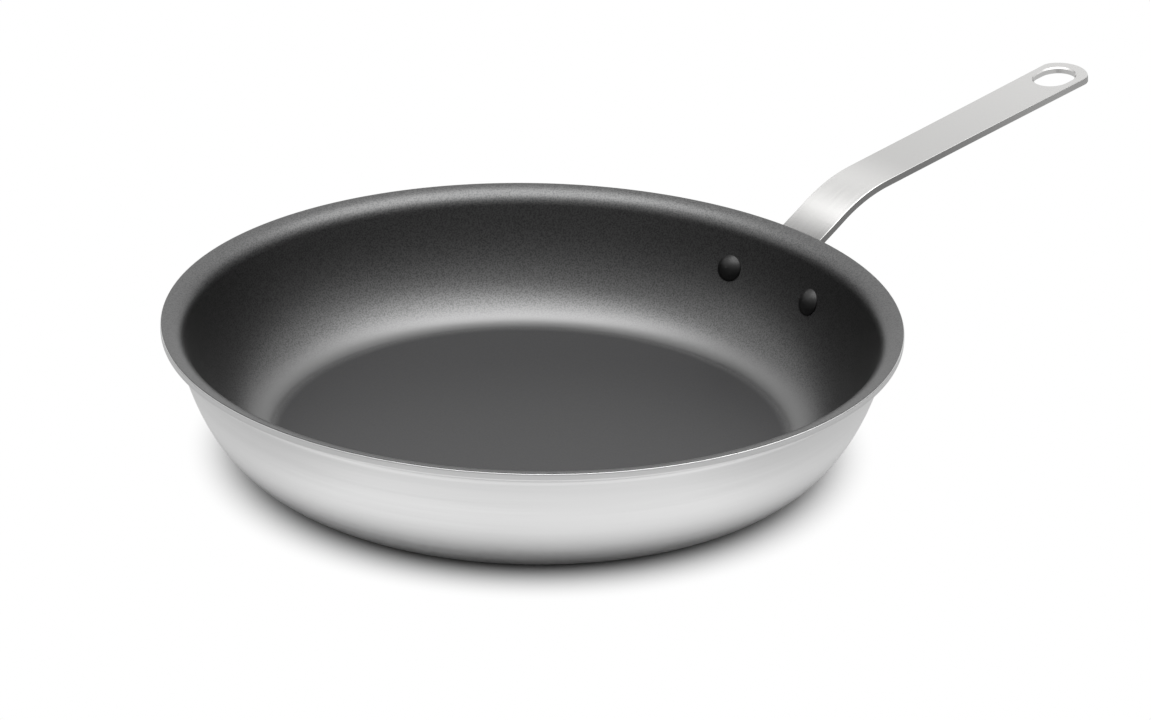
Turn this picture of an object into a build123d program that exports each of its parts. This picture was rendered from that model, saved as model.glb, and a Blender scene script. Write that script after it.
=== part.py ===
from build123d import *
import os
from math import asin, acos, cos, degrees, radians, sin

# Omelette pan in millimetres. +Z is up, the handle points along +X, and the origin is the
# centre of the underside of the base.

# Shell: one spun aluminium sheet. Its radii and angles are those of the food side, and its
# height is that of the rim's top corner before the corner is rounded.
rim_radius = 153.0
pan_height = 57.4
sheet_thickness = 3.3
heel_radius = 16.0
heel_angle = 32.0
turn_radius = 38.0
turn_angle = 54.0
wall_angle = 75.6
lip_radius = 17.0
lip_angle = 25.0
rim_round = 1.0

# Coating: a film over the food side. It is drawn thicker than a sprayed film.
coating_thickness = 0.25
bare_rim = 0.1

# Handle: one bent flat steel bar with a wide foot that lies on the outside of the wall.
handle_thickness = 3.3
neck_width = 23.9
neck_angle = 33.0
neck_turn_length = 9.0
neck_flat_length = 5.6
grip_bend_radius = 73.7
grip_angle = 9.5
grip_length = 141.6
grip_width = 26.0
tip_rise = 7.06
tip_shoulder_radius = 6.0
eye_width = 17.4
eye_stretch = 3.4
eye_setback = 15.9
eye_chamfer = 0.6
handle_edge_round = 0.4
foot_width = 72.0
foot_height = 22.0
foot_corner_radius = 8.0
foot_flare_radius = 6.0
foot_neck_clearance = 1.0

# Rivets: two solid rivets through the wall and the foot, at a drop below the rim.
rivet_drop = 22.4
rivet_spacing = 50.8
shank_radius = 3.2
head_radius = 5.7
head_height = 2.9
head_edge = 0.5

# Clearances
seat_gap = 0.1
shank_gap = 0.05

# Shell geometry worked out from the sizes above
heel_slope = radians(heel_angle)
turn_slope = radians(turn_angle)
wall_slope = radians(wall_angle)
lip_slope = radians(lip_angle)
heel_rise = heel_radius * (1 - cos(heel_slope))
turn_rise = turn_radius * (cos(heel_slope) - cos(turn_slope))
lip_rise = lip_radius * (cos(lip_slope) - cos(wall_slope))
wall_rise = pan_height - sheet_thickness - heel_rise - turn_rise - lip_rise
wall_radius = wall_rise / (cos(turn_slope) - cos(wall_slope))
heel_run = heel_radius * sin(heel_slope)
turn_run = turn_radius * (sin(turn_slope) - sin(heel_slope))
wall_run = wall_radius * (sin(wall_slope) - sin(turn_slope))
lip_run = lip_radius * (sin(wall_slope) - sin(lip_slope))
floor_radius = rim_radius - heel_run - turn_run - wall_run - lip_run
lip_centre_radius = rim_radius + lip_radius * sin(lip_slope)
wall_centre_radius = floor_radius + heel_run + turn_run - wall_radius * sin(turn_slope)
wall_centre_height = sheet_thickness + heel_rise + turn_rise + wall_radius * cos(turn_slope)

# Reaches of the cuts: one passes the whole pan, the other only what the rivets hold
cut_reach = 2 * rim_radius
drill_length = 4 * (sheet_thickness + handle_thickness + head_height)


def wall_and_lip(depth, end_angle):
    """Draw the wall and lip at a depth below the food side, up to the slope end_angle."""
    start_radius = wall_centre_radius + (wall_radius + depth) * sin(turn_slope)
    start_height = wall_centre_height - (wall_radius + depth) * cos(turn_slope)
    start = (start_radius, start_height)
    start_tangent = (cos(turn_slope), sin(turn_slope))
    wall = JernArc(start, start_tangent, wall_radius + depth, wall_angle - turn_angle)
    lip = JernArc(wall @ 1, wall % 1, lip_radius - depth, end_angle - wall_angle)
    return wall, lip


def shell_curve(depth, end_radius):
    """Draw the pan's curve from the axis to end_radius, at a depth below the food side."""
    end_angle = degrees(asin((lip_centre_radius - end_radius) / (lip_radius - depth)))
    wall, lip = wall_and_lip(depth, end_angle)
    floor_height = sheet_thickness - depth
    Line((0, floor_height), (floor_radius, floor_height))
    heel = JernArc((floor_radius, floor_height), (1, 0), heel_radius + depth, heel_angle)
    JernArc(heel @ 1, heel % 1, turn_radius + depth, turn_angle - heel_angle)
    return lip @ 1


# Rivet places: each plane lies on the food side with its Z axis pointing into the pan.
rivet_height = pan_height - rivet_drop
rivet_slope = acos((wall_centre_height - rivet_height) / wall_radius)
rivet_wall_radius = wall_centre_radius + wall_radius * sin(rivet_slope)
rivet_azimuth = asin(rivet_spacing / 2 / rivet_wall_radius)


def rivet_plane(side):
    """Place a rivet on the wall, with side +1 for the left of the handle and -1 for the right."""
    out_x = cos(rivet_azimuth)
    out_y = side * sin(rivet_azimuth)
    origin = (rivet_wall_radius * out_x, rivet_wall_radius * out_y, rivet_height)
    inward = (-sin(rivet_slope) * out_x, -sin(rivet_slope) * out_y, cos(rivet_slope))
    return Plane(origin=origin, x_dir=(-out_y, out_x, 0), z_dir=inward)


def axial_section(plane):
    """Give the plane through a rivet's axis, with its Y axis along the rivet's axis."""
    return Plane(origin=plane.origin, x_dir=plane.x_dir, z_dir=-plane.y_dir)


rivet_planes = {"left": rivet_plane(1), "right": rivet_plane(-1)}

# Pan body: the shell turned about its axis, with the rim's cut edge rounded
with BuildPart() as pan_body:
    with BuildSketch(Plane.XZ) as shell_section:
        with BuildLine():
            rim_top = shell_curve(0, rim_radius)
            rim_bottom = shell_curve(sheet_thickness, rim_radius)
            Line(rim_top, rim_bottom)
            Line((0, 0), (0, sheet_thickness))
        make_face()
        fillet(shell_section.vertices().sort_by(Axis.X)[-2:], radius=rim_round)
    revolve(axis=Axis.Z)
    with Locations(*rivet_planes.values()):
        Cylinder(shank_radius + shank_gap, drill_length, mode=Mode.SUBTRACT)

# Non-stick coating: it stops just inside the rounding of the rim's top corner
rim_corner = radians(90 - lip_angle)
rim_round_run = rim_round * (1 + cos(rim_corner)) / sin(rim_corner) * cos(lip_slope)
coating_radius = rim_radius - rim_round_run - bare_rim
head_coating_radius = head_radius + coating_thickness
with BuildPart() as nonstick_coating:
    with BuildSketch(Plane.XZ):
        with BuildLine():
            coating_back = shell_curve(0, coating_radius)
            coating_front = shell_curve(-coating_thickness, coating_radius)
            Line(coating_back, coating_front)
            Line((0, sheet_thickness), (0, sheet_thickness + coating_thickness))
        make_face()
    revolve(axis=Axis.Z)
    with Locations(*rivet_planes.values()):
        Cylinder(head_coating_radius + seat_gap, drill_length, mode=Mode.SUBTRACT)

# Handle foot: a plate that follows the outside of the wall and the underside of the lip
handle_depth = sheet_thickness + seat_gap
neck_direction = Vector(cos(radians(neck_angle)), 0, sin(radians(neck_angle)))
neck_normal = Vector(-sin(radians(neck_angle)), 0, cos(radians(neck_angle)))
lip_centre_height = pan_height - lip_radius * cos(lip_slope)
lip_centre = Vector(lip_centre_radius, 0, lip_centre_height)
neck_start = lip_centre + neck_normal * (lip_radius - handle_depth)
neck_underside = neck_start - neck_normal * handle_thickness
flare_top = rivet_height + foot_height / 2 + foot_flare_radius
flare_neck_length = (flare_top + foot_neck_clearance - neck_underside.Z) / neck_direction.Z
foot_neck_length = max(flare_neck_length, foot_neck_clearance)


def foot_face(depth):
    """Draw one face of the foot from the wall, under the lip, to the start of the neck."""
    wall, lip = wall_and_lip(depth, neck_angle)
    neck = Line(lip @ 1, lip @ 1 + lip % 1 * (foot_neck_length + neck_turn_length))
    return wall @ 0, neck @ 1


with BuildPart() as foot:
    with BuildSketch(Plane.XZ):
        with BuildLine():
            inner_low, inner_high = foot_face(handle_depth)
            outer_low, outer_high = foot_face(handle_depth + handle_thickness)
            Line(inner_low, outer_low)
            Line(inner_high, outer_high)
        make_face()
    revolve(axis=Axis.Z)
    with BuildSketch(Plane.YZ) as foot_outline:
        with Locations((0, rivet_height)):
            RectangleRounded(foot_width, foot_height, foot_corner_radius)
            Rectangle(neck_width, cut_reach, align=(Align.CENTER, Align.MIN))
        top_corners = foot_outline.vertices().group_by(Axis.Y)[-2]
        fillet(top_corners.sort_by(lambda corner: abs(corner.X))[:2], radius=foot_flare_radius)
    extrude(amount=cut_reach, mode=Mode.INTERSECT)
    foot_end = Plane(origin=neck_start + neck_direction * foot_neck_length, z_dir=neck_direction)
    split(bisect_by=foot_end, keep=Keep.BOTTOM)

# Handle bar: the flat neck, the bend and the straight grip with its rounded tip
bar_start = neck_start + neck_direction * (foot_neck_length + neck_turn_length)
bend_start = bar_start + neck_direction * neck_flat_length
grip_direction = Vector(cos(radians(grip_angle)), 0, sin(radians(grip_angle)))
grip_normal = Vector(-sin(radians(grip_angle)), 0, cos(radians(grip_angle)))


def bar_face(depth):
    """Draw one face of the bar from its start to its tip, at a depth below its upper face."""
    start = bar_start - neck_normal * depth
    end = bend_start - neck_normal * depth
    neck = Line((start.X, start.Z), (end.X, end.Z))
    bend = JernArc(neck @ 1, neck % 1, grip_bend_radius - depth, grip_angle - neck_angle)
    grip = Line(bend @ 1, bend @ 1 + bend % 1 * grip_length)
    return neck @ 0, grip @ 1


with BuildPart() as bar:
    with BuildSketch(Plane.XZ):
        with BuildLine():
            upper_start, upper_end = bar_face(0)
            lower_start, lower_end = bar_face(handle_thickness)
            Line(upper_start, lower_start)
            Line(upper_end, lower_end)
        make_face()
    extrude(amount=grip_width, both=True)
    tip = Vector(upper_end.X, 0, upper_end.Y)
    tip_plane = Plane(origin=tip, x_dir=grip_direction, z_dir=grip_normal)
    neck_side_end = (tip - bend_start).dot(grip_direction) - handle_thickness
    bar_run = neck_side_end + 2 * (neck_turn_length + neck_flat_length)
    bar_sides = ((neck_width / 2, grip_width / 2), (-neck_width / 2, -grip_width / 2))
    with BuildSketch(tip_plane) as bar_outline:
        with BuildLine():
            for half_neck, half_grip in bar_sides:
                Polyline((-bar_run, 0), (-bar_run, half_neck), (-neck_side_end, half_neck))
                TangentArc((-neck_side_end, half_neck), (-tip_rise, half_grip), tangent=(1, 0))
            ThreePointArc((-tip_rise, -grip_width / 2), (0, 0), (-tip_rise, grip_width / 2))
        make_face()
        fillet(bar_outline.vertices().sort_by(Axis.X)[-2:], radius=tip_shoulder_radius)
    extrude(amount=cut_reach, both=True, mode=Mode.INTERSECT)


def is_sharp(edge):
    """Tell the plate's sharp edges from those where its faces run on smoothly."""
    faces = handle.faces().filter_by(lambda face: edge in face.edges())
    normals = [face.normal_at(edge @ 0.5) for face in faces]
    return normals[0].dot(normals[1]) < sharp_share


# Handle: foot and bar joined by a short stretch that turns from round to flat
sharp_share = 0.9
with BuildPart() as handle:
    add(foot.part)
    add(bar.part)
    loft(sections=[foot.faces().filter_by(foot_end)[0], bar.faces().filter_by(foot_end)[0]])
    fillet(handle.edges().filter_by(is_sharp), radius=handle_edge_round)
    with BuildSketch(tip_plane):
        with Locations((-eye_setback, 0)):
            SlotCenterToCenter(eye_stretch, eye_width)
    extrude(amount=2 * handle_thickness, both=True, mode=Mode.SUBTRACT)
    chamfer(handle.edges(Select.LAST).filter_by(tip_plane), length=eye_chamfer)
    with Locations(*rivet_planes.values()):
        Cylinder(shank_radius + shank_gap, drill_length, mode=Mode.SUBTRACT)

# Rivets: a domed head on the food side, a shank, and a domed head outside the foot
grip_depth = sheet_thickness + seat_gap + handle_thickness + seat_gap
head_seat = head_radius**2 / (2 * wall_radius) + seat_gap


def dome(radius, edge_height, top_height):
    """Draw half of a dome, from its edge to its top on the axis."""
    rise = abs(top_height - edge_height)
    dome_radius = (radius**2 + rise**2) / (2 * rise)
    turn = 1 if top_height > edge_height else -1
    RadiusArc((radius, edge_height), (0, top_height), -turn * dome_radius)


rivets = {}
rivet_coatings = {}
for side, plane in rivet_planes.items():
    with BuildPart() as rivets[side]:
        with BuildSketch(axial_section(plane)):
            with BuildLine():
                dome(head_radius, head_seat + head_edge, head_seat + head_height)
                Polyline(
                    (head_radius, head_seat + head_edge),
                    (head_radius, head_seat),
                    (shank_radius, head_seat),
                    (shank_radius, -grip_depth),
                    (head_radius, -grip_depth),
                    (head_radius, -grip_depth - head_edge),
                )
                dome(head_radius, -grip_depth - head_edge, -grip_depth - head_height)
                Line((0, -grip_depth - head_height), (0, head_seat + head_height))
            make_face()
        revolve(axis=Axis(plane.origin, plane.z_dir))
    with BuildPart() as rivet_coatings[side]:
        with BuildSketch(axial_section(plane)):
            with BuildLine():
                dome(head_radius, head_seat + head_edge, head_seat + head_height)
                dome(
                    head_coating_radius,
                    head_seat + head_edge,
                    head_seat + head_height + coating_thickness,
                )
                Line((0, head_seat + head_height), (0, head_seat + head_height + coating_thickness))
                Polyline(
                    (head_radius, head_seat + head_edge),
                    (head_radius, head_seat),
                    (head_coating_radius, head_seat),
                    (head_coating_radius, head_seat + head_edge),
                )
            make_face()
        revolve(axis=Axis(plane.origin, plane.z_dir))

# Files: one for each piece, named after it
pieces = {"pan_body": pan_body, "nonstick_coating": nonstick_coating, "handle": handle}
for side in rivet_planes:
    pieces["rivet_" + side] = rivets[side]
    pieces["rivet_coating_" + side] = rivet_coatings[side]

os.makedirs("parts", exist_ok=True)
for name, piece in pieces.items():
    piece.part.label = name
    export_step(piece.part, "parts/" + name + ".step")
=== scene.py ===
from math import asin, atan, cos, pi, radians, sin, tan

import bpy
from mathutils import Matrix, Vector


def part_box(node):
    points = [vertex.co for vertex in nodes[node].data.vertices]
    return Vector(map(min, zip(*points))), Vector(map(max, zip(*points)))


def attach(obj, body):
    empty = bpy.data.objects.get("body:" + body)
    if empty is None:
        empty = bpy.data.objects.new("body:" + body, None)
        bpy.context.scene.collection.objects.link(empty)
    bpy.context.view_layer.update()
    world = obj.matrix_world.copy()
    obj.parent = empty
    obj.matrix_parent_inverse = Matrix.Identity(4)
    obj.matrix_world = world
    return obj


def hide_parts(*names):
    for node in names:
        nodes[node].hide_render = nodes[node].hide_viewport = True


# Omelette pan in metres. +Z is up, the handle points along +X, and the origin is the centre of
# the underside of the base.

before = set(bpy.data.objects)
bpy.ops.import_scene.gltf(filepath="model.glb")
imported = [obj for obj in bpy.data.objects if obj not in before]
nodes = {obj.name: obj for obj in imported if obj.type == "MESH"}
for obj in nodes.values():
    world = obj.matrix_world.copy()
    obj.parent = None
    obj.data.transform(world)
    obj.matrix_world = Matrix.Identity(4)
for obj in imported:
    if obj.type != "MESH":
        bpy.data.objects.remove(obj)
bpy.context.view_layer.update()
upright = pi / 2

# Camera: where it stands round the pan, and how far its aim lies beside the pan's centre
view_azimuth = radians(-41.22)
view_elevation = radians(23.76)
view_roll = radians(-1.33)
view_distance = 1.2641
aim_right = 0.01867
aim_up = 0.03269
lens_mm = 93.83
sensor_mm = 36.0
turn = Matrix.Rotation(view_azimuth, 3, "Z")
view_right = turn @ Vector((1, 0, 0))
view_away = turn @ Vector((0, 1, 0))

# Softbox over the pan: its place as (away from the camera, right of it, height), its width and
# depth, and the level at its middle, which fades over a span of its reach to nothing at its edge
key_place = (0.08, 0.12, 0.95)
key_size = (2.20, 1.75)
key_level = 3.6
key_fade = (0.25, 1.0)

# World: a plain sky lights matt surfaces. Reflections see a pale backdrop behind the pan, with
# dark flags low at its sides, a dim front that is darkest low down, and a dark top. The spans are
# in shares of a direction: away from the camera, aside from it, or up.
sky_level = 0.12
backdrop_level = 0.95
dark_level = 0.15
dim_level = 0.58
backdrop_span = (-0.6, 0.1)
flag_side_span = (0.45, 0.75)
flag_height_span = (0.25, 0.5)
front_span = (0.28, 0.60)
overhead_span = (0.69, 0.83)

# Floor: it glows white away from the pan and keeps the shadow near it, and next to the base its
# colour is darkened as a painted shadow. The spans are distances from the pan's centre, and
# side_span lies to the camera's left and right.
floor_half = 3.0
floor_colour = (0.86, 0.86, 0.86, 1.0)
black = (0.0, 0.0, 0.0, 1.0)
shadow_span = (0.114, 0.145)
mirrored_shadow_span = (0.124, 0.152)
painted_shadow_span = (0.110, 0.135)
painted_shadow_level = 0.42
mirrored_span = (0.163, 0.213)
mirrored_level = 0.66
side_span = (0.085, 0.160)
side_level = 0.72
side_end = (0.225, 0.260)

# Noise is brought to full contrast over this span. A bump is given as its strength and height.
noise_span = (0.3, 0.7)

# Spun aluminium: marks that run round the axis, slow along their length and fine across it
aluminium_colour = (0.82, 0.82, 0.82, 1.0)
aluminium_roughness = (0.30, 0.38)
aluminium_anisotropy = 0.5
ring_along = 1.6
ring_across = 1500.0
ring_bump = (0.12, 0.00004)

# Coating: smooth on the floor, grainy and with a sheen on the wall and the lip, and with a painted
# highlight, a brighter ring round the floor's edge. The spans are distances from the axis.
coating_colour = (0.026, 0.026, 0.027, 1.0)
sheen_colour = (0.155, 0.155, 0.155, 1.0)
highlight_ring_colour = (0.26, 0.26, 0.26, 1.0)
coating_roughness = 0.40
sheen_roughness = 0.36
sheen_level = 0.82
sheen_grain = 0.3
roughness_grain = 0.03
grain_scale = 1500.0
coating_bump = (0.12, 0.0001)
sprayed_span = (0.105, 0.110)
highlight_ring_start = (0.107, 0.112)
highlight_ring_end = (0.112, 0.126)

# Coated rivet heads
head_colour = (0.006, 0.006, 0.006, 1.0)
head_roughness = (0.30, 0.42)
head_specular = 0.5
head_grain_scale = 1200.0
head_bump = (0.15, 0.0001)

# Steel bar: brushed along its length, a little darker along the grip, with painted shade at the
# neck by the rim, and rougher cut edges whose colour holds painted shade, paler towards the tip.
# The spans are places along the bar, and outer_span is the distance from its middle.
steel_colour = (0.76, 0.755, 0.745, 1.0)
side_shade_colour = (0.30, 0.298, 0.295, 1.0)
pale_side_shade_colour = (0.55, 0.547, 0.54, 1.0)
steel_roughness = (0.17, 0.23)
edge_roughness = 0.25
steel_anisotropy = 0.4
brushing = (30.0, 2600.0, 30.0)
steel_bump = (0.1, 0.00003)
edge_facing_span = (0.55, 0.9)
outer_span = (0.0095, 0.0105)
pale_side_shade_span = (0.20, 0.33)
grip_span = (0.185, 0.215)
grip_darkening_span = (0.20, 0.34)
grip_darkening_levels = (0.22, 0.08)
neck_shade_start = (0.143, 0.153)
neck_shade_end = (0.153, 0.172)
neck_shade_level = 0.66

# Shell, drawn again over the solid so that its slope changes evenly up the wall, with a tight
# bend from the wall to a gently rising lip. The height is that of the rim's top corner before
# the corner is rounded, and the slopes are those of the food side. The rivets follow the wall
# inward by rivet_shift.
rim_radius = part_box("pan_body")[1].x
shell_height = 0.0574
sheet = 0.0033
film = 0.00025
wall_width_share = 0.474
wall_slope = radians(78.3)
bend_radius = 0.0090
lip_start_slope = radians(22.0)
lip_radius = 0.022
lip_slope = radians(10.0)
rim_top_round = 0.0006
rim_bottom_round = 0.0012
film_end = radians(70.0)
rivet_shift = 0.00087

# Numbers of steps in which the shell's curves and its full turn are drawn
wall_steps = 28
bend_steps = 10
lip_steps = 6
round_steps = 6
turn_steps = 256

# Shell geometry worked out from the sizes above
bend_run = bend_radius * (sin(wall_slope) - sin(lip_start_slope))
bend_rise = bend_radius * (cos(lip_start_slope) - cos(wall_slope))
lip_run = lip_radius * (sin(lip_start_slope) - sin(lip_slope))
lip_rise = lip_radius * (cos(lip_slope) - cos(lip_start_slope))
wall_turn = atan(wall_width_share * tan(wall_slope))
wall_half_height = (shell_height - sheet - bend_rise - lip_rise) / (1 - cos(wall_turn))
wall_half_width = wall_width_share * wall_half_height
floor_radius = rim_radius - bend_run - lip_run - wall_half_width * sin(wall_turn)
upper_end = rim_radius - rim_top_round * (1 + sin(lip_slope))
lower_end = rim_radius - rim_bottom_round * (1 - sin(lip_slope))


def studio_point(away, right, height):
    """Give a point of the studio, measured from the pan's centre along the camera's directions."""
    return view_away * away + view_right * right + Vector((0, 0, height))


def aim_camera():
    """Place the camera at the photograph's viewing angle."""
    tilt = turn @ Matrix.Rotation(-view_elevation, 3, "X")
    ahead = tilt @ Vector((0, 1, 0))
    roll = Matrix.Rotation(view_roll, 3, ahead)
    right = roll @ tilt @ Vector((1, 0, 0))
    up = roll @ tilt @ Vector((0, 0, 1))
    camera = bpy.data.objects.new("camera", bpy.data.cameras.new("camera"))
    camera.data.lens = lens_mm
    camera.data.sensor_width = sensor_mm
    camera.data.sensor_fit = "HORIZONTAL"
    bpy.context.scene.collection.objects.link(camera)
    place = Matrix((right, up, -ahead)).transposed().to_4x4()
    place.translation = right * aim_right + up * aim_up - ahead * view_distance
    camera.matrix_world = place
    bpy.context.scene.camera = camera


class Nodes:
    """A small helper that adds and links shader nodes."""

    def __init__(self, tree):
        self.tree = tree
        tree.nodes.clear()

    def add(self, kind, inputs=None, **settings):
        node = self.tree.nodes.new(kind)
        for key, value in settings.items():
            setattr(node, key, value)
        for key, value in (inputs or {}).items():
            if isinstance(value, bpy.types.NodeSocket):
                self.tree.links.new(value, node.inputs[key])
            else:
                node.inputs[key].default_value = value
        return node

    def math(self, operation, first, second=0.0, third=0.0):
        inputs = {0: first, 1: second, 2: third}
        return self.add("ShaderNodeMath", inputs, operation=operation).outputs[0]

    def vector(self, operation, first, second=(0.0, 0.0, 0.0)):
        """Work on vectors, giving a vector or, for a length or a dot product, a value."""
        inputs = {0: first, 1: second}
        outputs = self.add("ShaderNodeVectorMath", inputs, operation=operation).outputs
        return outputs["Value" if operation in ("LENGTH", "DOT_PRODUCT") else "Vector"]

    def split(self, vector):
        return self.add("ShaderNodeSeparateXYZ", {0: vector}).outputs

    def span(self, value, ends, to_low=0.0, to_high=1.0):
        """Map a value smoothly from one span to another."""
        inputs = {"Value": value, "From Min": ends[0], "From Max": ends[1]}
        inputs.update({"To Min": to_low, "To Max": to_high})
        return self.add("ShaderNodeMapRange", inputs, interpolation_type="SMOOTHSTEP").outputs[0]

    def blend(self, factor, first, second):
        inputs = {0: factor, 6: first, 7: second}
        return self.add("ShaderNodeMix", inputs, data_type="RGBA").outputs[2]

    def noise(self, vector, scale, detail):
        inputs = {"Vector": vector, "Scale": scale, "Detail": detail}
        return self.add("ShaderNodeTexNoise", inputs).outputs["Fac"]

    def bump(self, height, sizes):
        inputs = {"Height": height, "Strength": sizes[0], "Distance": sizes[1]}
        return self.add("ShaderNodeBump", inputs).outputs[0]

    def axis_distance(self, split):
        """Give the flat vector from the axis to a point, and its length."""
        flat = self.add("ShaderNodeCombineXYZ", {"X": split["X"], "Y": split["Y"]}).outputs[0]
        return flat, self.vector("LENGTH", flat)

    def seen_directly(self):
        """Give the camera's rays, and all rays that show a surface: camera, mirrored, through."""
        path = self.add("ShaderNodeLightPath").outputs
        seen = self.math("MAXIMUM", path["Is Camera Ray"], path["Is Glossy Ray"])
        return path["Is Camera Ray"], self.math("MAXIMUM", seen, path["Is Transmission Ray"])


def add_softbox(name, place, size, level):
    """Hang an oval softbox level over the pan, bright at its middle and dark at its edge."""
    data = bpy.data.lights.new(name, "AREA")
    data.shape = "ELLIPSE"
    data.size, data.size_y = size
    data.energy = pi * pi * size[0] * size[1] / 4
    data.use_nodes = True
    n = Nodes(data.node_tree)
    spot = n.add("ShaderNodeNewGeometry").outputs["Position"]
    offset = n.vector("SUBTRACT", spot, place)
    right = n.vector("DOT_PRODUCT", offset, view_right * 2 / size[0])
    away = n.vector("DOT_PRODUCT", offset, view_away * 2 / size[1])
    squares = n.math("ADD", n.math("MULTIPLY", right, right), n.math("MULTIPLY", away, away))
    strength = n.span(n.math("SQRT", squares), key_fade, level, 0.0)
    cloth = n.add("ShaderNodeEmission", {"Strength": strength})
    n.add("ShaderNodeOutputLight", {"Surface": cloth.outputs[0]})
    box = bpy.data.objects.new(name, data)
    bpy.context.scene.collection.objects.link(box)
    box.location = place
    box.rotation_euler.z = view_azimuth


def light_world():
    """White for the camera, the studio for reflections, and a plain soft light for the rest."""
    world = bpy.data.worlds.new("studio")
    bpy.context.scene.world = world
    world.use_nodes = True
    n = Nodes(world.node_tree)
    camera_ray, seen = n.seen_directly()
    direction = n.add("ShaderNodeTexCoord").outputs["Generated"]
    height = n.split(direction)["Z"]
    behind = n.span(n.vector("DOT_PRODUCT", direction, view_away), backdrop_span)
    aside = n.math("ABSOLUTE", n.vector("DOT_PRODUCT", direction, view_right))
    low = n.span(height, flag_height_span, 1.0, 0.0)
    flag = n.math("MULTIPLY", n.span(aside, flag_side_span), low)
    lit = n.math("MULTIPLY", behind, n.math("SUBTRACT", 1.0, flag))
    front = n.span(height, front_span, dark_level, dim_level)
    backdrop = n.math("MULTIPLY_ADD", lit, n.math("SUBTRACT", backdrop_level, front), front)
    backdrop = n.math("MULTIPLY", backdrop, n.span(height, overhead_span, 1.0, 0.0))
    backdrop = n.math("MAXIMUM", backdrop, camera_ray)
    extra = n.math("SUBTRACT", backdrop, sky_level)
    strength = n.math("MULTIPLY_ADD", seen, extra, sky_level)
    sky = n.add("ShaderNodeBackground", {"Color": (1, 1, 1, 1), "Strength": strength})
    n.add("ShaderNodeOutputWorld", {"Surface": sky.outputs[0]})


def floor_material():
    """Pale matt floor that reads as white away from the pan, keeps the pan's shadow, and has
    painted shadow by the base.
    """
    material = bpy.data.materials.new("floor")
    material.use_nodes = True
    n = Nodes(material.node_tree)
    camera_ray, seen = n.seen_directly()
    position = n.add("ShaderNodeTexCoord").outputs["Object"]
    distance = n.vector("LENGTH", position)
    mirrored_fade = n.span(distance, mirrored_shadow_span)
    fade = n.math("MULTIPLY", n.math("SUBTRACT", seen, camera_ray), mirrored_fade)
    fade = n.math("MULTIPLY_ADD", camera_ray, n.span(distance, shadow_span), fade)
    aside = n.math("ABSOLUTE", n.vector("DOT_PRODUCT", position, view_right))
    sides = n.span(aside, side_span, 1.0, side_level)
    sides = n.math("MAXIMUM", sides, n.span(distance, side_end))
    far = n.math("MULTIPLY", n.span(distance, mirrored_span, 1.0, mirrored_level), sides)
    level = n.math("MAXIMUM", far, camera_ray)
    glow = n.add("ShaderNodeEmission", {"Color": (1, 1, 1, 1), "Strength": level})
    # Painted shadow: the floor's colour darkens towards black next to the base.
    painted_shadow = n.span(distance, painted_shadow_span, 1.0 - painted_shadow_level, 0.0)
    matt = n.add("ShaderNodeBsdfDiffuse", {"Color": n.blend(painted_shadow, floor_colour, black)})
    both = n.add("ShaderNodeMixShader", {0: fade, 1: matt.outputs[0], 2: glow.outputs[0]})
    n.add("ShaderNodeOutputMaterial", {"Surface": both.outputs[0]})
    return material


def add_floor():
    """Lay the floor under the base."""
    mesh = bpy.data.meshes.new("floor")
    signs = [(-1, -1), (1, -1), (1, 1), (-1, 1)]
    corners = [(across * floor_half, along * floor_half, 0) for across, along in signs]
    mesh.from_pydata(corners, [], [(0, 1, 2, 3)])
    floor = bpy.data.objects.new("floor", mesh)
    bpy.context.scene.collection.objects.link(floor)
    mesh.materials.append(floor_material())


def start_material(name):
    """Start a material with one Principled shader."""
    material = bpy.data.materials.new(name)
    material.use_nodes = True
    n = Nodes(material.node_tree)
    shader = n.add("ShaderNodeBsdfPrincipled")
    n.add("ShaderNodeOutputMaterial", {"Surface": shader.outputs[0]})
    return material, n, shader


def finish_shader(n, shader, **values):
    """Set or link a shader's inputs, named with underscores for spaces."""
    for name, value in values.items():
        socket = shader.inputs[name.replace("_", " ")]
        if isinstance(value, bpy.types.NodeSocket):
            n.tree.links.new(value, socket)
        else:
            socket.default_value = value


def spun_aluminium():
    """Satin aluminium, spun and brushed in rings."""
    material, n, shader = start_material("spun_aluminium")
    split = n.split(n.add("ShaderNodeTexCoord").outputs["Object"])
    flat, radius = n.axis_distance(split)
    turned = n.split(n.vector("NORMALIZE", flat))
    x = n.math("MULTIPLY", turned["X"], ring_along)
    y = n.math("MULTIPLY", turned["Y"], ring_along)
    z = n.math("MULTIPLY", split["Z"], ring_across)
    vector = n.add("ShaderNodeCombineXYZ", {"X": x, "Y": y, "Z": z}).outputs[0]
    across = n.math("MULTIPLY", radius, ring_across)
    inputs = {"Vector": vector, "W": across, "Scale": 1.0, "Detail": 3.0}
    marks = n.add("ShaderNodeTexNoise", inputs, noise_dimensions="4D").outputs["Fac"]
    finish_shader(
        n,
        shader,
        Base_Color=aluminium_colour,
        Metallic=1.0,
        Roughness=n.span(marks, noise_span, *aluminium_roughness),
        Anisotropic=aluminium_anisotropy,
        Anisotropic_Rotation=0.25,
        Normal=n.bump(marks, ring_bump),
        Tangent=n.add("ShaderNodeTangent", direction_type="RADIAL", axis="Z").outputs[0],
    )
    return material


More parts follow.
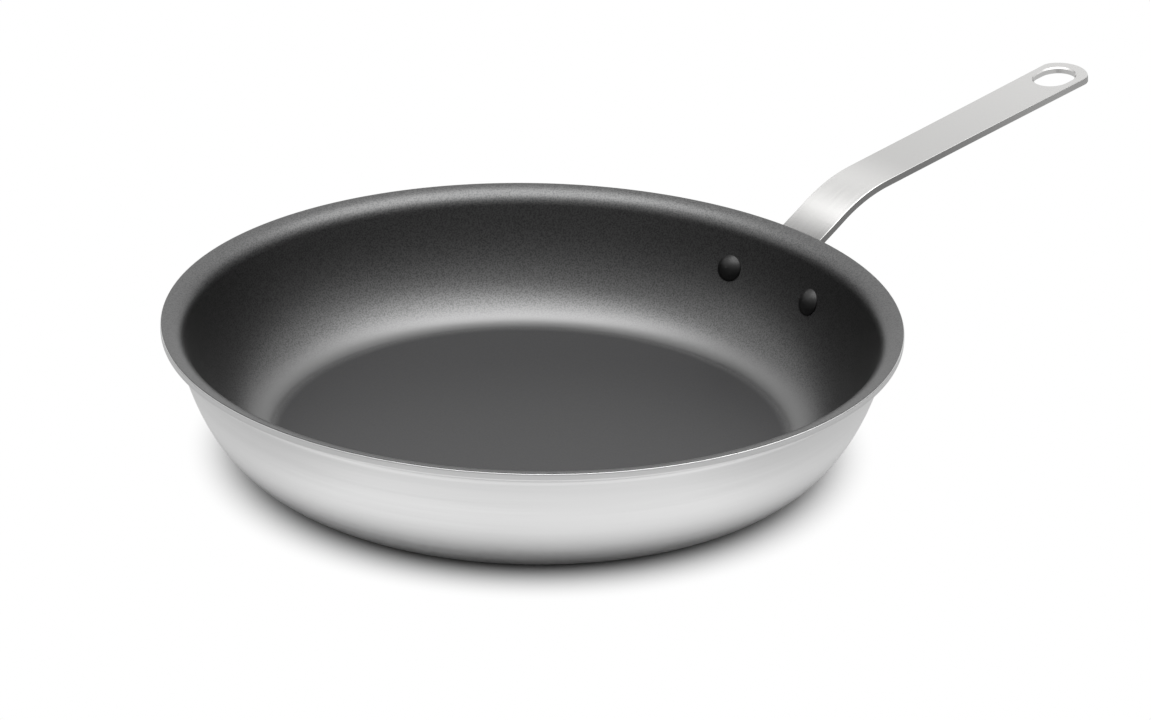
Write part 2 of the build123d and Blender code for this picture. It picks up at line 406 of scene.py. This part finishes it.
def nonstick():
    """Dark sprayed coating: grainy with a sheen on the wall and the lip, smooth on the floor."""
    material, n, shader = start_material("nonstick")
    position = n.add("ShaderNodeTexCoord").outputs["Object"]
    radius = n.axis_distance(n.split(position))[1]
    sprayed = n.span(radius, sprayed_span)
    pebbles = n.noise(position, grain_scale, 3.0)
    grain = n.span(pebbles, noise_span, -1.0, 1.0)
    amount = n.math("MULTIPLY_ADD", grain, sheen_grain, sheen_level)
    colour = n.blend(n.math("MULTIPLY", sprayed, amount), coating_colour, sheen_colour)
    # Painted highlight: the colour brightens in a ring round the floor's edge.
    highlight_ring_in = n.span(radius, highlight_ring_end, 1.0, 0.0)
    highlight_ring = n.math("MULTIPLY", n.span(radius, highlight_ring_start), highlight_ring_in)
    even_roughness = n.span(sprayed, (0.0, 1.0), coating_roughness, sheen_roughness)
    finish_shader(
        n,
        shader,
        Base_Color=n.blend(highlight_ring, colour, highlight_ring_colour),
        Metallic=sprayed,
        Roughness=n.math("MULTIPLY_ADD", grain, roughness_grain, even_roughness),
        Normal=n.bump(n.math("MULTIPLY", pebbles, sprayed), coating_bump),
    )
    return material


def rivet_coating():
    """The same coating on a rivet's head."""
    material, n, shader = start_material("rivet_coating")
    position = n.add("ShaderNodeTexCoord").outputs["Object"]
    pebbles = n.noise(position, head_grain_scale, 2.0)
    finish_shader(
        n,
        shader,
        Base_Color=head_colour,
        Specular_IOR_Level=head_specular,
        Roughness=n.span(pebbles, noise_span, *head_roughness),
        Normal=n.bump(pebbles, head_bump),
    )
    return material


def brushed_steel():
    """Flat steel bar brushed along its length, with rougher cut edges that hold painted shade."""
    material, n, shader = start_material("brushed_steel")
    coordinates = n.add("ShaderNodeTexCoord").outputs
    position = coordinates["Object"]
    place = n.split(position)
    facing = n.math("ABSOLUTE", n.split(coordinates["Normal"])["Y"])
    outer = n.span(n.math("ABSOLUTE", place["Y"]), outer_span)
    # Painted shade: the bar's outer cut sides get a darker colour, paler towards the tip, and more
    # roughness.
    edge = n.math("MULTIPLY", n.span(facing, edge_facing_span), outer)
    streak = n.noise(n.vector("MULTIPLY", position, brushing), 1.0, 3.0)
    # The bar's colour darkens a little along the grip, most near its start.
    grip_darkening_fade = n.span(place["X"], grip_darkening_span, *grip_darkening_levels)
    grip_darkening = n.math("MULTIPLY", n.span(place["X"], grip_span), grip_darkening_fade)
    # Painted shade: the bar's colour darkens towards black at the neck, close to the rim.
    neck_shade = n.span(place["X"], neck_shade_end, neck_shade_level, 0.0)
    neck_shaded = n.math("MULTIPLY", neck_shade, n.span(place["X"], neck_shade_start))
    colour = n.blend(n.math("ADD", grip_darkening, neck_shaded), steel_colour, black)
    side_shade_mix = n.blend(n.span(place["X"], pale_side_shade_span), side_shade_colour, pale_side_shade_colour)
    brushed = n.span(streak, noise_span, *steel_roughness)
    finish_shader(
        n,
        shader,
        Base_Color=n.blend(edge, colour, side_shade_mix),
        Metallic=1.0,
        Roughness=n.math("MULTIPLY_ADD", edge, edge_roughness, brushed),
        Anisotropic=steel_anisotropy,
        Normal=n.bump(streak, steel_bump),
        Tangent=n.add("ShaderNodeCombineXYZ", {"Y": 1.0}).outputs[0],
    )
    return material


def steps_between(first, last, steps):
    """Give evenly spaced values from the first to the last, both included."""
    return [first + (last - first) * step / steps for step in range(steps + 1)]


def arc(centre, radius, first, last, steps):
    """Give points of an arc between two directions."""
    turns = steps_between(first, last, steps)
    return [(centre[0] + radius * cos(angle), centre[1] + radius * sin(angle)) for angle in turns]


def shell_side(depth, end_radius):
    """Give points from the floor's edge to end_radius, at a depth below the food side."""
    points = []
    for slope in steps_between(0.0, wall_slope, wall_steps):
        turned = atan(wall_width_share * tan(slope))
        radius = floor_radius + wall_half_width * sin(turned) + depth * sin(slope)
        height = sheet + wall_half_height * (1 - cos(turned)) - depth * cos(slope)
        points.append((radius, height))
    lip_centre_radius = rim_radius + lip_radius * sin(lip_slope)
    lip_centre = (lip_centre_radius, shell_height - lip_radius * cos(lip_slope))
    inset = lip_radius - bend_radius
    bend_centre = (
        lip_centre[0] - inset * sin(lip_start_slope),
        lip_centre[1] + inset * cos(lip_start_slope),
    )
    wall_end = upright + wall_slope
    lip_start = upright + lip_start_slope
    lip_end = upright + asin((lip_centre_radius - end_radius) / (lip_radius - depth))
    points += arc(bend_centre, bend_radius - depth, wall_end, lip_start, bend_steps)[1:]
    points += arc(lip_centre, lip_radius - depth, lip_start, lip_end, lip_steps)[1:]
    return points


def top_round_centre():
    """Give the centre of the rounding of the rim's top corner."""
    drop = rim_top_round * (tan(lip_slope) + 1 / cos(lip_slope))
    return rim_radius - rim_top_round, shell_height - drop


def shell_outline():
    """Give the shell's outline from the axis, under the base, over the rim and back to the axis."""
    rise = rim_bottom_round * (1 / cos(lip_slope) - tan(lip_slope)) - sheet / cos(lip_slope)
    lower_centre = (rim_radius - rim_bottom_round, shell_height + rise)
    upper_centre = top_round_centre()
    points = [(0.0, 0.0)] + shell_side(sheet, lower_end)
    points += arc(lower_centre, rim_bottom_round, lip_slope - upright, 0.0, round_steps)[1:]
    points += arc(upper_centre, rim_top_round, 0.0, upright + lip_slope, round_steps)
    points += reversed(shell_side(0.0, upper_end)[:-1])
    return points + [(0.0, sheet)]


def film_outline():
    """Give the coating's outline, from the axis along the food side, and back along its surface."""
    centre = top_round_centre()
    film_start = upright + lip_slope
    points = [(0.0, sheet)] + shell_side(0.0, upper_end)
    points += arc(centre, rim_top_round, film_start, film_end, round_steps)[1:]
    points += arc(centre, rim_top_round + film, film_end, film_start, round_steps)
    points += reversed(shell_side(-film, upper_end)[:-1])
    return points + [(0.0, sheet + film)]


def stand_for(piece, node):
    """Let a piece ride on the pan in a node's place, and hide the node."""
    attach(piece, "root")
    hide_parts(node)


def spin(name, outline, material, node):
    """Turn an outline that starts and ends on the axis into a smooth piece in a node's place."""
    places = [(0.0, 0.0, outline[0][1]), (0.0, 0.0, outline[-1][1])]
    poles = len(places)
    for radius, height in outline[1:-1]:
        for step in range(turn_steps):
            angle = 2 * pi * step / turn_steps
            places.append((radius * cos(angle), radius * sin(angle), height))
    faces = []
    rings = len(outline) - 2
    last = poles + (rings - 1) * turn_steps
    for step in range(turn_steps):
        following = (step + 1) % turn_steps
        faces.append((0, poles + following, poles + step))
        faces.append((1, last + step, last + following))
        for ring in range(rings - 1):
            inner = poles + ring * turn_steps
            outer = inner + turn_steps
            faces.append((inner + step, inner + following, outer + following, outer + step))
    mesh = bpy.data.meshes.new(name)
    mesh.from_pydata(places, [], faces)
    mesh.polygons.foreach_set("use_smooth", [True] * len(mesh.polygons))
    mesh.materials.append(material)
    piece = bpy.data.objects.new(name, mesh)
    bpy.context.scene.collection.objects.link(piece)
    stand_for(piece, node)


def seat(node, material):
    """Set a copy of a rivet's piece against the redrawn wall, in the node's place."""
    source = nodes[node]
    piece = bpy.data.objects.new(node + "_seated", source.data.copy())
    piece.data.materials.clear()
    piece.data.materials.append(material)
    bpy.context.scene.collection.objects.link(piece)
    low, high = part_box(node)
    inward = Vector((-low.x - high.x, -low.y - high.y, 0)).normalized()
    piece.matrix_world = Matrix.Translation(inward * rivet_shift) @ source.matrix_world
    stand_for(piece, node)


def dress(node, material):
    """Give a CAD node one material."""
    slots = nodes[node].material_slots
    if not slots:
        nodes[node].data.materials.append(material)
    for slot in slots:
        slot.material = material


aim_camera()
light_world()
add_floor()
add_softbox("key", studio_point(*key_place), key_size, key_level)

aluminium = spun_aluminium()
coating = nonstick()
head_coating = rivet_coating()
steel = brushed_steel()
spin("shell", shell_outline(), aluminium, "pan_body")
spin("film", film_outline(), coating, "nonstick_coating")
dress("handle", steel)
for side in ("left", "right"):
    seat("rivet_" + side, aluminium)
    seat("rivet_coating_" + side, head_coating)

bpy.context.scene.view_settings.view_transform = "Standard"
